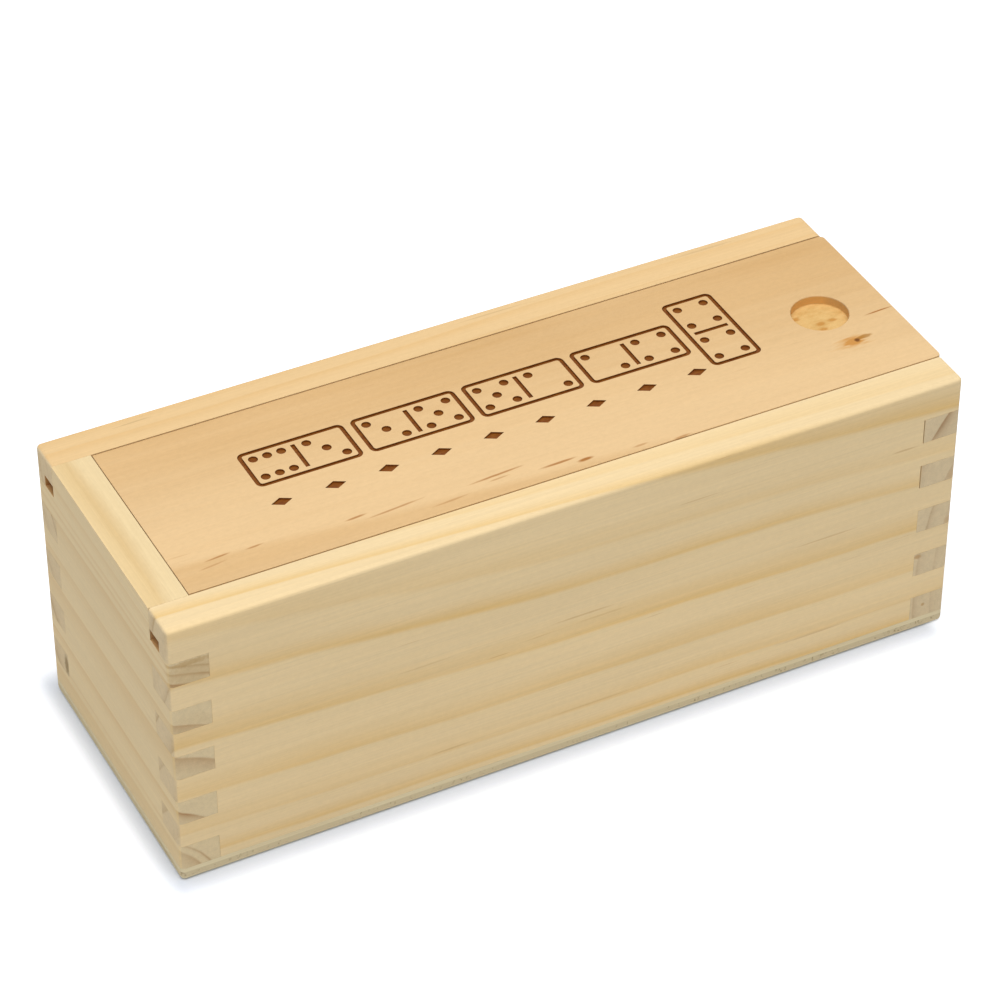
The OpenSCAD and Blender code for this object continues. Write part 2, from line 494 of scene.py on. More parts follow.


# 1 on the walls of the lid's groove where it runs out through the closed end, which the cutter scorched and
# where shade is painted inside the hole
def insideGroove(tree, place):
    split = splitNode(tree, vectorNode(tree, "SCALE", place, scale=1000.0))
    across = mathNode(tree, "ABSOLUTE", split["Y"])
    outer = -halfLength * 1000
    inner = -innerHalfLength * 1000 + joinery["scorchAndShadeReach"]
    mask = stepNode(tree, split["X"], outer + 0.05, outer + 0.2)
    mask = mathNode(tree, "MULTIPLY", mask, stepNode(tree, split["X"], inner, inner + 1, 1.0, 0.0))
    for value, low, high in ((across, innerHalfWidth, innerHalfWidth + joinery["grooveDepth"]),
                             (split["Z"], grooveFloor, grooveTop)):
        low = low * 1000 - 0.1
        high = high * 1000 + 0.1
        mask = mathNode(tree, "MULTIPLY", mask, stepNode(tree, value, low - 0.05, low))
        mask = mathNode(tree, "MULTIPLY", mask, stepNode(tree, value, high, high + 0.05, 1.0, 0.0))
    return mask


# The pine of one board. More can be laid over the colour by the piece's own code, through what this returns.
def pineBoard(name, look):
    material, tree, shader = startMaterial(name)
    vector, end = grainVector(tree, look["grain"])
    radius = useGroup(tree, treeRings, Vector=vector, Heart=(0, *look["heart"]), Lean=(0, *look["lean"]),
                      Waver=look["waver"])["Radius"]
    ring = ringRamp(tree, radius, look)
    uneven = noiseNode(tree, vector, woodPatterns["years"], detail=1.0)
    ring = mathNode(tree, "MULTIPLY", ring, mathNode(tree, "MULTIPLY_ADD", uneven, 0.55, 1.0), clamp=True)
    wood = useGroup(tree, pineSurface, Vector=vector, Ring=ring, End=end,
                    Early=look["early"], Late=look["late"],
                    EndEarly=look["endEarly"], EndLate=look["endLate"],
                    Fibre=look["fibre"], Mottle=look["mottle"], Resin=look["resin"])
    colour = wood["Color"]
    for place, size, slope, dark in look["marks"]:
        mask = useGroup(tree, woodMark, Vector=vector, Place=place, Size=size, Slope=slope)["Mask"]
        stain = look["stain"]
        colour = mixNode(tree, mathNode(tree, "MULTIPLY", mask, dark), colour, stain)
    place = tree.nodes.new("ShaderNodeTexCoord").outputs["Object"]
    worn = useGroup(tree, edgeWear, Vector=vectorNode(tree, "SCALE", place, scale=1000.0),
                    Middle=(boxLow + boxHigh) * 500, Half=(boxHigh - boxLow) * 500)["Mask"]
    colour = shadeNode(tree, colour, worn, look["wear"])
    if look["body"] == "box":
        # darkens the groove's walls inside the closed end: scorch, and painted shade in the hole
        colour = mixNode(tree, insideGroove(tree, place), colour,
                         vectorNode(tree, "MULTIPLY", colour, joinery["scorchAndShade"]))
    feed(tree, shader.inputs["Base Color"], colour)
    feed(tree, shader.inputs["Roughness"], mathNode(tree, "MULTIPLY_ADD", worn, -0.06, wood["Roughness"]))
    return material, tree, shader, vector, colour, wood


# Cuts the two upper sockets at the low end a little too deep
def loosenSockets(bm, bottom):
    loose = [f for f in bm.faces if all(near(v.co.x, bottom) for v in f.verts)
             and f.calc_center_median().z > fingerLevels[-4]]
    bmesh.ops.translate(bm, vec=(-joinery["socketPlay"], 0, 0), verts=[v for f in loose for v in f.verts])


# One board of the box: its section swept along X or Y, with its fingers grown out of both ends
def jointedBoard(section, axis, start, stop, reach, hasFinger):
    along = Vector((1, 0, 0)) if axis == 0 else Vector((0, 1, 0))
    bm = bmesh.new()
    if axis == 0:
        outline = addFace(bm, [(start, across, z) for across, z in section])
    else:
        outline = addFace(bm, [(across, start, z) for across, z in section])
    pushOut(bm, [outline], along * (stop - start))
    for level in fingerLevels[1:]:
        cutThrough(bm, (0, 0, level), (0, 0, 1))
    for at, out in ((start, -reach), (stop, reach)):
        cells = [f for f in bm.faces if all(near(v.co[axis], at) for v in f.verts)
                 and hasFinger(f.calc_center_median().z)]
        growOut(bm, cells, along * (out - at))
    if axis == 0:
        loosenSockets(bm, stop)
    cleanUp(bm)
    roundUprightCorners(bm)
    roundTop(bm)
    breakArrises(bm, joinery["arris"])
    return bm


def finishBoard(bm, name, look, materialName):
    material, tree, shader, vector, colour, wood = pineBoard(materialName, look)
    addRelief(tree, shader, wood["Height"], 0.03 * mm)
    return makePiece(bm, name, look, material)


def endBoardHasFinger(z):
    return z < grooveFloor and int((z - wallFoot) / fingerHeight) % 2 == 0


def sideBoardHasFinger(z):
    return not endBoardHasFinger(z)


# Section of a side board with the lid's groove; side is -1 at the front and 1 at the back
def sideSection(side):
    outer = side * halfWidth
    inner = side * innerHalfWidth
    deep = side * (innerHalfWidth + joinery["grooveDepth"])
    return [(outer, wallFoot), (inner, wallFoot), (inner, grooveFloor), (deep, grooveFloor),
            (deep, grooveTop), (inner, grooveTop), (inner, wallTop), (outer, wallTop)]


frontBoard = {
    "node": "front_side", "body": "box", "slot": "side_pine",
    "grain": "X",
    "heart": (45.0, 86.2),  # where the heart of the tree lay, across and up, in mm
    "lean": (-0.0631, 0.0443),  # how far the heart moves across and up for each mm along
    "waver": 0.75,
    "spread": 0.9,  # mm in which a year's dark edge ends
    "rise": (0.62, 1.5),  # share of the year in which it deepens, and how late it does
    "rings": [(74.6, 0.5), (79.4, 0.9), (84.4, 0.5), (88.3, 0.9), (95.4, 0.9), (102.6, 0.8), (108.1, 0.65),
              (112.0, 0.9)],  # radius of each year's dark edge, and how dark it is
    "early": (0.845, 0.652, 0.38, 1),
    "late": (0.785, 0.53, 0.217, 1),
    "endEarly": (0.74, 0.58, 0.36, 1),
    "endLate": (0.50, 0.33, 0.15, 1),
    "fibre": 0.10, "mottle": 0.06, "resin": 0.42, "wear": 0.04,
    "stain": (0.48, 0.25, 0.08, 1),
    # resin lines that the photo shows: middle, half size, slope and darkness
    "marks": [((1.5, -31, 33.1), (9, 1, 0.28), -0.02, 0.35), ((4.9, -31, 31.5), (7, 1, 0.22), -0.02, 0.2),
              ((-32.2, -31, 33.4), (8, 1, 0.25), -0.02, 0.2), ((54.7, -31, 32.1), (9, 1, 0.28), -0.01, 0.3),
              ((25.4, -31, 52.2), (6, 1, 0.25), -0.01, 0.25), ((71.3, -31, 47.7), (3.5, 1, 0.3), 0.04, 0.35),
              ((3.9, -31, 9.9), (12, 1, 0.25), -0.02, 0.3), ((-27.3, -31, 10.5), (6, 1, 0.25), -0.02, 0.3),
              ((52.7, -31, 8.3), (10, 1, 0.28), -0.02, 0.3)],
}


def buildFrontBoard():
    bm = jointedBoard(sideSection(-1), 0, -innerHalfLength, innerHalfLength, halfLength, sideBoardHasFinger)
    return finishBoard(bm, "frontBoard", frontBoard, "frontBoardPine")


backBoard = {
    "node": "back_side", "body": "box", "slot": "side_pine",
    "grain": "X",
    "heart": (-34.0, 84.0),
    "lean": (0.012, 0.0),
    "waver": 1.0,
    "spread": 1.0,
    "rise": (0.62, 1.5),
    "rings": [(58.2, 0.3), (61.9, 0.5), (66.0, 0.6), (70.5, 0.9), (75.4, 0.7), (82.0, 0.8), (89.5, 0.9),
              (98.0, 0.8)],
    "early": (0.777, 0.54, 0.277, 1),
    "late": (0.71, 0.44, 0.175, 1),
    "endEarly": (0.74, 0.58, 0.36, 1),
    "endLate": (0.50, 0.33, 0.15, 1),
    "fibre": 0.09, "mottle": 0.06, "resin": 0.36, "wear": 0.04,
    "stain": (0.28, 0.18, 0.07, 1),
    # three resin lines on the top, and the stained finger low at the closed end
    "marks": [((-64.5, 28.7, 61), (5, 0.3, 1), 0.03, 0.25), ((11.7, 29.2, 61), (9, 0.3, 1), 0.0, 0.18),
              ((60.5, 29.3, 61), (10, 0.35, 1), 0.0, 0.21), ((-83.5, 23.9, 11.2), (3, 1.4, 3.4), 0.0, 0.8)],
}


def buildBackBoard():
    bm = jointedBoard(sideSection(1), 0, -innerHalfLength, innerHalfLength, halfLength, sideBoardHasFinger)
    return finishBoard(bm, "backBoard", backBoard, "backBoardPine")


closedBoard = {
    "node": "closed_end", "body": "box", "slot": "end_pine",
    "grain": "Y",
    "heart": (93.4, -5.6),  # across is measured towards the closed end
    "lean": (0.01, 0.0),
    "waver": 0.6,
    "spread": 0.8,
    "rise": (0.62, 1.5),
    "rings": [(16.5, 0.8), (18.2, 0.9), (25.4, 1.0), (37.9, 0.9), (45.4, 0.9), (55.2, 1.0), (57.5, 0.9),
              (59.4, 0.8), (63.6, 0.8), (68.0, 0.8)],
    "early": (0.795, 0.62, 0.357, 1),
    "late": (0.71, 0.50, 0.235, 1),
    "endEarly": (0.735, 0.59, 0.365, 1),
    "endLate": (0.44, 0.25, 0.11, 1),
    "fibre": 0.09, "mottle": 0.06, "resin": 0.2, "wear": 0.04,
    "stain": (0.44, 0.25, 0.07, 1),
    # browner ends of the two uppermost fingers, and a warm streak along the top
    "marks": [((-31, 79, 50), (3, 7, 4.5), 0, 0.3), ((-31, 79, 52.7), (3, 6.5, 0.9), 0, 0.45),
              ((-31, 79, 37), (3, 7, 4.5), 0, 0.12), ((-31, 83.2, 34.6), (3, 2.4, 0.9), 0, 0.8),
              ((0, 79.8, 61), (34, 2.4, 1.5), 0.01, 0.16)],
}


def buildClosedEnd():
    outer = closedLow.x
    inner = -innerHalfLength
    deep = inner - joinery["grooveDepth"]
    section = [(outer, wallFoot), (inner, wallFoot), (inner, grooveFloor), (deep, grooveFloor),
               (deep, grooveTop), (inner, grooveTop), (inner, wallTop), (outer, wallTop)]
    bm = jointedBoard(section, 1, -innerHalfWidth, innerHalfWidth, halfWidth, endBoardHasFinger)
    return finishBoard(bm, "closedEndBoard", closedBoard, "closedEndPine")


lowBoard = {
    "node": "low_end", "body": "box", "slot": "end_pine",
    "grain": "Y",
    "heart": (-148.0, 9.4),
    "lean": (0.0, 0.0),
    "waver": 0.8,
    "spread": 0.8,
    "rise": (0.62, 1.5),
    "rings": [(65.4, 0.5), (68.2, 0.6), (72.2, 0.75), (80.6, 1.0)],
    "early": (0.84, 0.66, 0.40, 1),
    "late": (0.76, 0.52, 0.25, 1),
    "endEarly": (0.71, 0.565, 0.36, 1),
    "endLate": (0.44, 0.28, 0.15, 1),
    "fibre": 0.06, "mottle": 0.05, "resin": 0.2, "wear": 0.04,
    "stain": (0.48, 0.25, 0.08, 1),
    # stained corners of the finger ends
    "marks": [((-31, -82.8, 37.6), (3, 1.5, 1.5), 0, 0.3), ((-31, -83.0, 26.3), (3, 1.5, 1.3), 0, 0.35),
              ((-31, -76.3, 19.1), (3, 1.1, 0.8), 0, 0.6), ((-31, -78.5, 6), (3, 0.6, 0.5), 0, 0.6)],
}


def buildLowEnd():
    section = [(openLow.x, wallFoot), (openHigh.x, wallFoot), (openHigh.x, grooveFloor),
               (openLow.x, grooveFloor)]
    bm = jointedBoard(section, 1, -innerHalfWidth, innerHalfWidth, halfWidth, endBoardHasFinger)
    return finishBoard(bm, "lowEndBoard", lowBoard, "lowEndPine")


plyBase = {
    "node": "base_plate", "body": "box", "slot": "base_plywood",
    "glueLines": (0.95, 2.05),  # heights in mm at which the three layers meet
    "face": (0.80, 0.70, 0.47, 1),
    "faceDark": (0.70, 0.57, 0.36, 1),
    "core": (0.67, 0.56, 0.36, 1),
    "coreDark": (0.38, 0.28, 0.15, 1),
}


# Plywood: two thin faces with the grain along X and a darker core with its grain across
def plyMaterial():
    material, tree, shader = startMaterial("basePlywood")
    vector, _ = grainVector(tree, "X")
    split = splitNode(tree, vector)
    uneven = noiseNode(tree, vector, (0.05, 0.05, 0.3), detail=2.0)
    height = mathNode(tree, "MULTIPLY_ADD", uneven, 0.12, split["Z"])
    low, high = plyBase["glueLines"]
    core = mathNode(tree, "MULTIPLY", stepNode(tree, height, low - 0.06, low + 0.06),
                    stepNode(tree, height, high - 0.06, high + 0.06, 1.0, 0.0))
    veins = noiseNode(tree, vector, (0.03, 1.1, 1.1), detail=4.0, roughness=0.65)
    face = mixNode(tree, stepNode(tree, veins, -0.5, 0.7), plyBase["face"], plyBase["faceDark"])
    specks = noiseNode(tree, vector, (2.2, 0.05, 1.2), detail=2.0, roughness=0.6)
    gaps = noiseNode(tree, vector, (0.05, 0.05, 0.05), detail=1.0)
    specks = stepNode(tree, mathNode(tree, "MULTIPLY_ADD", gaps, 0.45, specks), 0.1, 0.6)
    inner = mixNode(tree, specks, plyBase["core"], plyBase["coreDark"])
    feed(tree, shader.inputs["Base Color"], mixNode(tree, core, face, inner))
    feed(tree, shader.inputs["Roughness"], mathNode(tree, "MULTIPLY_ADD", core, 0.12, 0.68))
    rough = mathNode(tree, "MULTIPLY_ADD", core, mathNode(tree, "MULTIPLY", specks, -1.0), veins)
    addRelief(tree, shader, rough, 0.04 * mm)
    return material


def buildPlyBase():
    bm = bmesh.new()
    bmesh.ops.create_cube(bm, size=1.0)
    bmesh.ops.scale(bm, vec=baseHigh - baseLow, verts=bm.verts)
    bmesh.ops.translate(bm, vec=(baseLow + baseHigh) / 2, verts=bm.verts)
    rounded = [e for e in bm.edges if not all(near(v.co.z, baseHigh.z) for v in e.verts)]
    roundOff(bm, rounded, joinery["footRadius"], 5)
    breakArrises(bm, joinery["arris"])
    return makePiece(bm, "basePly", plyBase, plyMaterial())


slidingLid = {
    "node": "lid", "body": "lid", "slot": "lid_pine",
    "seamGap": 0.3 * mm,  # beside the lips
    "shutGap": 0.14 * mm,  # at the closed end
    "tongueHeight": 2.4 * mm,
    "arris": 0.15 * mm,
    "recessWidth": 11.5 * mm,
    "recessDepth": 2 * mm,
    "recessIn": 14 * mm,  # from the free end to its middle
    "recessRim": 0.25 * mm,
    "grain": "X",
    "heart": (-60.0, -44.0),
    "lean": (-0.0755, 0.0),
    "waver": 0.6,
    "spread": 1.4,
    "rise": (0.88, 1.0),
    "rings": [(112.2, 0.4), (143.0, 1.0), (150.0, 0.6)],
    "early": (0.765, 0.53, 0.282, 1),
    "late": (0.59, 0.345, 0.13, 1),
    "endEarly": (0.62, 0.44, 0.25, 1),
    "endLate": (0.42, 0.25, 0.12, 1),
    "fibre": 0.05, "mottle": 0.08, "resin": 0.2, "wear": 0.0,
    "stain": (0.40, 0.16, 0.035, 1),
    "marks": [((-66.4, -15.5, 61), (3.2, 0.32, 1), 0.09, 0.75), ((-68.4, -17.3, 61), (4, 0.3, 1), 0.12, 0.4),
              ((-59.1, -15.7, 61), (2.3, 0.3, 1), 0.06, 0.7), ((-39.1, -16.5, 61), (2.8, 0.35, 1), 0.08, 0.8),
              ((-31.7, -17.4, 61), (7, 0.32, 1), 0.08, 0.65), ((-21.1, -20, 61), (5, 0.32, 1), 0.07, 0.45),
              ((-10.3, -17, 61), (7.5, 0.35, 1), 0.065, 0.8), ((-10.3, -18.1, 61), (3, 0.28, 1), 0.06, 0.5),
              ((1.8, -19, 61), (4.5, 0.42, 1), 0.04, 0.85), ((6.8, -20.3, 61), (2.2, 0.6, 1), 0.05, 1.0),
              ((18.1, -21.2, 61), (2.2, 0.35, 1), 0.04, 0.5), ((26.4, -22.4, 61), (2.6, 0.4, 1), 0.05, 0.6),
              ((80.2, -4.6, 61), (4.2, 0.26, 1), 0.04, 1.0)],
    "knotIn": 12.1,  # mm from the free end to its middle
    "knotAcross": -11.1,
    # a ragged reddish patch round a dark pith: place from there, half size, raggedness, strength and colour
    "knot": [((-1.2, 0.2, 0), (4.8, 2.6, 3), 0.9, 0.45, (0.64, 0.33, 0.09, 1)),
             ((-0.9, 0.0, 0), (2.9, 1.6, 3), 1.0, 0.8, (0.56, 0.23, 0.03, 1)),
             ((2.0, 0.4, 0), (1.9, 0.8, 3), 0.9, 0.7, (0.37, 0.16, 0.02, 1)),
             ((0, 0, 0), (0.8, 0.7, 3), 0.4, 0.95, (0.15, 0.045, 0.0, 1))],
    "recessWall": (1.05, 0.9, 0.6),  # what the recess's wall keeps of the wood's colour
    "recessFloor": (0.76, 0.50, 0.20, 1),
    "recessFloorDark": (0.62, 0.36, 0.11, 1),
    # orange spots on the recess floor, from its middle
    "torn": [(-0.2, -0.9), (2.5, -0.8), (-0.6, -2.8), (-4.0, 2.5)],
    "tornSize": (1.3, 0.8, 9),
    "tornStain": (0.52, 0.23, 0.04, 1),
}

# The engraved picture, as in the CAD model: four tiles end to end, a crosswise double and a row of lozenges
engraving = {
    "depth": 0.4 * mm,
    "frame": (56.0, 17.0),  # mm from the lid's middle within which all of it lies, along and across
    "tileLength": 22 * mm,
    "tileWidth": 11 * mm,
    "tileRadius": 1.4 * mm,
    "tileGap": 1.5 * mm,
    "lineWidth": 0.9 * mm,
    "pipWidth": 1.9 * mm,
    "pipIn": 2.6 * mm,  # from the edges of a half tile to its outer pips
    "chainOut": 1 * mm,
    "chainUp": 5 * mm,
    "tiles": [(6, 3), (3, 5), (5, 2), (2, 4)],
    "double": 4,
    "lozenges": 9,
    "lozengeLength": 4.4 * mm,
    "lozengeWidth": 2.4 * mm,
    "lozengeStep": 11 * mm,
    "lozengeDown": 5.5 * mm,
    "burnt": (0.14, 0.030, 0.0, 1),
    "burntLight": (0.26, 0.083, 0.004, 1),
}

# Pips of a half tile as columns and rows of a three by three grid
pipSpots = {
    2: [(-1, 1), (1, -1)],
    3: [(-1, 1), (0, 0), (1, -1)],
    4: [(-1, -1), (-1, 1), (1, -1), (1, 1)],
    5: [(-1, -1), (-1, 1), (0, 0), (1, -1), (1, 1)],
    6: [(-1, -1), (0, -1), (1, -1), (-1, 1), (0, 1), (1, 1)],
}


def joinInto(target, part):
    scratch = bpy.data.meshes.new("scratch")
    part.to_mesh(scratch)
    part.free()
    target.from_mesh(scratch)
    bpy.data.meshes.remove(scratch)


# Upright prism from a flat shape
def standUp(bm, bottom, top):
    bmesh.ops.translate(bm, vec=(0, 0, bottom), verts=bm.verts)
    pushOut(bm, bm.faces[:], (0, 0, top - bottom))
    bmesh.ops.recalc_face_normals(bm, faces=bm.faces)


def addCutter(cutter, shape, x, y, bottom, top):
    bmesh.ops.translate(shape, vec=(x, y, 0), verts=shape.verts)
    standUp(shape, bottom, top)
    joinInto(cutter, shape)


def tileRing(length, width):
    bm = bmesh.new()
    bmesh.ops.create_grid(bm, x_segments=1, y_segments=1, size=0.5)
    bmesh.ops.scale(bm, vec=(length, width, 1), verts=bm.verts)
    bmesh.ops.bevel(bm, geom=bm.verts[:], offset=engraving["tileRadius"], offset_type="OFFSET", segments=8,
                    profile=0.5, affect="VERTICES", material=-1)
    middle = bm.faces[:]
    bmesh.ops.inset_region(bm, faces=middle, thickness=engraving["lineWidth"], use_even_offset=True,
                           use_boundary=True)
    bmesh.ops.delete(bm, geom=middle, context="FACES")
    return bm


def slab(length, width):
    bm = bmesh.new()
    bmesh.ops.create_grid(bm, x_segments=1, y_segments=1, size=0.5)
    bmesh.ops.scale(bm, vec=(length, width, 1), verts=bm.verts)
    return bm


def disc(width, segments):
    bm = bmesh.new()
    bmesh.ops.create_circle(bm, cap_ends=True, segments=segments, radius=width / 2)
    return bm


# Flat shapes of one tile about its middle, as a list of (shape, x, y)
def tileShapes(left, right):
    quarter = engraving["tileLength"] / 4
    stepX = quarter - engraving["pipIn"]
    stepY = engraving["tileWidth"] / 2 - engraving["pipIn"]
    shapes = [(tileRing(engraving["tileLength"], engraving["tileWidth"]), 0, 0),
              (slab(engraving["lineWidth"], engraving["tileWidth"] - 4 * engraving["lineWidth"]), 0, 0)]
    for value, middle in ((left, -quarter), (right, quarter)):
        for column, row in pipSpots[value]:
            shapes.append((disc(engraving["pipWidth"], 24), middle + column * stepX, row * stepY))
    return shapes


# Everything that is cut into the lid's top, as one mesh
def engravingCutter(top):
    cutter = bmesh.new()
    bottom = top - engraving["depth"]
    above = top + mm
    pitch = engraving["tileLength"] + engraving["tileGap"]
    length = len(engraving["tiles"]) * pitch + engraving["tileWidth"]
    start = engraving["chainOut"] - length / 2
    upper = engraving["chainUp"]
    for i, (left, right) in enumerate(engraving["tiles"]):
        for shape, x, y in tileShapes(left, right):
            middle = start + i * pitch + engraving["tileLength"] / 2
            addCutter(cutter, shape, middle + x, upper + y, bottom, above)
    crosswise = start + length - engraving["tileWidth"] / 2
    for shape, x, y in tileShapes(engraving["double"], engraving["double"]):
        bmesh.ops.translate(shape, vec=(x, y, 0), verts=shape.verts)
        bmesh.ops.rotate(shape, cent=(0, 0, 0), matrix=Quaternion((0, 0, 1), math.pi / 2).to_matrix(),
                         verts=shape.verts)
        addCutter(cutter, shape, crosswise, upper, bottom, above)
    row = upper - engraving["tileWidth"] / 2 - engraving["lozengeDown"]
    for i in range(engraving["lozenges"]):
        shape = disc(2.0, 4)
        bmesh.ops.scale(shape, vec=(engraving["lozengeLength"] / 2, engraving["lozengeWidth"] / 2, 1),
                        verts=shape.verts)
        middle = start + engraving["lozengeLength"] / 2 + i * engraving["lozengeStep"]
        addCutter(cutter, shape, middle, row, bottom, above)
    recess = disc(slidingLid["recessWidth"], 64)
    addCutter(cutter, recess, lidHigh.x - slidingLid["recessIn"], 0, top - slidingLid["recessDepth"], above)
    return cutter


# Joins two solids or takes the second out of the first
def combine(first, second, operation):
    objects = []
    for name, source in (("first", first), ("second", second)):
        mesh = bpy.data.meshes.new(name)
        source.to_mesh(mesh)
        source.free()
        thing = bpy.data.objects.new(name, mesh)
        bpy.context.scene.collection.objects.link(thing)
        objects.append(thing)
    cut = objects[0].modifiers.new("Combine", "BOOLEAN")
    cut.operation = operation
    cut.solver = "EXACT"
    cut.object = objects[1]
    combined = bmesh.new()
    combined.from_object(objects[0], bpy.context.evaluated_depsgraph_get())
    for thing in objects:
        mesh = thing.data
        bpy.data.objects.remove(thing)
        bpy.data.meshes.remove(mesh)
    return combined


def lidMaterial():
    material, tree, shader, vector, colour, wood = pineBoard("lidPine", slidingLid)
    split = splitNode(tree, vector)
    top = lidHigh.z * 1000
    recessX = (lidHigh.x - slidingLid["recessIn"]) * 1000
    depth = mathNode(tree, "SUBTRACT", top, split["Z"])
    across = mathNode(tree, "ABSOLUTE", split["Y"])

    knot = Vector((lidHigh.x * 1000 - slidingLid["knotIn"], slidingLid["knotAcross"], top))
    for offset, size, ragged, share, stain in slidingLid["knot"]:
        mask = useGroup(tree, woodMark, Vector=vector, Place=knot + Vector(offset), Size=size,
                        Ragged=ragged)["Mask"]
        colour = mixNode(tree, mathNode(tree, "MULTIPLY", mask, share), colour, stain)

    # the recess: torn yellowish fibres on its floor, and a browner cut wall
    nearRecess = vectorNode(tree, "SUBTRACT", vector, (recessX, 0, top))
    nearRecess = vectorNode(tree, "LENGTH", vectorNode(tree, "MULTIPLY", nearRecess, (1, 1, 0)))
    rim = slidingLid["recessWidth"] * 500 + 0.45
    nearRecess = stepNode(tree, nearRecess, rim, rim + 0.2, 1.0, 0.0)
    wall = mathNode(tree, "MULTIPLY", nearRecess, stepNode(tree, depth, 0.15, 0.3))
    colour = mixNode(tree, wall, colour, vectorNode(tree, "MULTIPLY", colour, slidingLid["recessWall"]))
    deepest = slidingLid["recessDepth"] * 1000
    floor = mathNode(tree, "MULTIPLY", nearRecess, stepNode(tree, depth, deepest - 0.3, deepest - 0.1))
    tear = noiseNode(tree, vector, (0.35, 0.7, 0.7), detail=4.0, roughness=0.7)
    torn = mixNode(tree, stepNode(tree, tear, -0.4, 0.6), slidingLid["recessFloor"],
                   slidingLid["recessFloorDark"])
    for x, y in slidingLid["torn"]:
        mask = useGroup(tree, woodMark, Vector=vector, Place=(recessX + x, y, top - deepest),
                        Size=slidingLid["tornSize"], Ragged=0.5)["Mask"]
        torn = mixNode(tree, mathNode(tree, "MULTIPLY", mask, 0.75), torn, slidingLid["tornStain"])
    colour = mixNode(tree, floor, colour, torn)

    # the burnt engraving, which is all that lies just below the top inside the picture's frame
    halfFrame, halfFrameAcross = engraving["frame"]
    along = mathNode(tree, "ABSOLUTE", split["X"])
    inPicture = mathNode(tree, "MULTIPLY",
                         stepNode(tree, across, halfFrameAcross, halfFrameAcross + 0.1, 1.0, 0.0),
                         stepNode(tree, along, halfFrame, halfFrame + 0.1, 1.0, 0.0))
    below = mathNode(tree, "MULTIPLY", stepNode(tree, depth, 0.02, 0.12),
                     stepNode(tree, depth, 0.6, 0.8, 1.0, 0.0))
    burn = mathNode(tree, "MULTIPLY", inPicture, below)
    char = noiseNode(tree, vector, (0.5, 1.6, 1.6), detail=3.0, roughness=0.65)
    char = mixNode(tree, stepNode(tree, char, -0.6, 0.7), engraving["burnt"], engraving["burntLight"])
    colour = mixNode(tree, burn, colour, char)
    feed(tree, shader.inputs["Base Color"], colour)
    addRelief(tree, shader, mathNode(tree, "MULTIPLY_ADD", floor, mathNode(tree, "MULTIPLY", tear, 3.0),
                                     wood["Height"]), 0.03 * mm)
    return material


# One level of the lid, with its two free corners rounded
def lidPlate(start, half, bottom, top):
    bm = bmesh.new()
    outline = addFace(bm, [(start, -half, bottom), (lidHigh.x, -half, bottom), (lidHigh.x, half, bottom),
                           (start, half, bottom)])
    pushOut(bm, [outline], (0, 0, top - bottom))
    bmesh.ops.recalc_face_normals(bm, faces=bm.faces)
    freeCorners = edgesAlong(bm, 2, lambda co: near(co.x, lidHigh.x))
    roundOff(bm, freeCorners, joinery["cornerRadius"], 5)
    return bm


def buildLid():
    shoulder = lidLow.z + slidingLid["tongueHeight"]
    tongue = lidPlate(lidLow.x, lidHigh.y, lidLow.z, shoulder)
    body = lidPlate(-innerHalfLength + slidingLid["shutGap"], innerHalfWidth - slidingLid["seamGap"],
                    lidLow.z + mm, lidHigh.z)
    bm = combine(tongue, body, "UNION")
    cleanUp(bm)
    breakArrises(bm, slidingLid["arris"], keep=shoulder)
    bm = combine(bm, engravingCutter(lidHigh.z), "DIFFERENCE")
    rim = [e for e in bm.edges if all(near(v.co.z, lidHigh.z) for v in e.verts)
           and all((v.co.xy - Vector((lidHigh.x - slidingLid["recessIn"], 0))).length
                   < slidingLid["recessWidth"] / 2 + 1e-5 for v in e.verts)]
    roundOff(bm, rim, slidingLid["recessRim"], 3)
    for edge in bm.edges:
        edge.smooth = edge.calc_face_angle(0) < sharpAngle
    return makePiece(bm, "slidingLid", slidingLid, lidMaterial())


buildFrontBoard()
buildBackBoard()
buildClosedEnd()
buildLowEnd()
buildPlyBase()
buildLid()


studio = {
    "worldColour": (1.0, 1.0, 0.95, 1),
    "worldLevel": 0.42,
    "keyPlace": (-0.1, -0.25, 1.4),
    "keySize": 1.1,
    "keyPower": 16.0,
    "keyColour": (1.0, 1.0, 1.0),
    "floorColour": (0.73, 0.74, 0.755, 1),
    "floorSeen": (0.68, 0.72, 0.81, 1),  # the same floor for the camera, which makes the shadow bluish
    "floorSize": 6.0,
    "floorLift": 0.56,  # what the floor adds for the camera, so that it is white; it adds less near the box, which paints a shadow on top of the real one
    "paintedShadowWidth": 5.6,  # mm from the box within which it adds less, which paints the shadow
    "paintedShadowShort": 5.0,  # mm by which that painted shadow falls short at the low end, which leaves that side lighter
    "paintedShadowWeight": (1, 0.68, 0),  # a distance counts less at the front and back, so the painted shadow is wider
}


# 1 for rays from the camera, from a reflection or through glass
def seenDirectly(tree):
    path = tree.nodes.new("ShaderNodeLightPath")
    seen = mathNode(tree, "ADD", path.outputs["Is Camera Ray"], path.outputs["Is Glossy Ray"])
    return mathNode(tree, "ADD", seen, path.outputs["Is Transmission Ray"], clamp=True)


# A tenth under the box and 1 from a few millimetres outside it: where it is low the floor's lift is less,
# which paints a shadow round the box
def paintedShadowFade(tree):
    place = vectorNode(tree, "SCALE", tree.nodes.new("ShaderNodeTexCoord").outputs["Object"], scale=1000.0)
    low = boxLow * 1000
    high = boxHigh * 1000 - Vector((studio["paintedShadowShort"], 0, 0))
    offset = vectorNode(tree, "ABSOLUTE", vectorNode(tree, "SUBTRACT", place, (low + high) / 2))
    outside = vectorNode(tree, "MAXIMUM", vectorNode(tree, "SUBTRACT", offset, (high - low) / 2), (0, 0, 0))
    distance = vectorNode(tree, "LENGTH", vectorNode(tree, "MULTIPLY", outside, studio["paintedShadowWeight"]))
    return stepNode(tree, distance, -0.3, studio["paintedShadowWidth"], 0.1, 1.0)


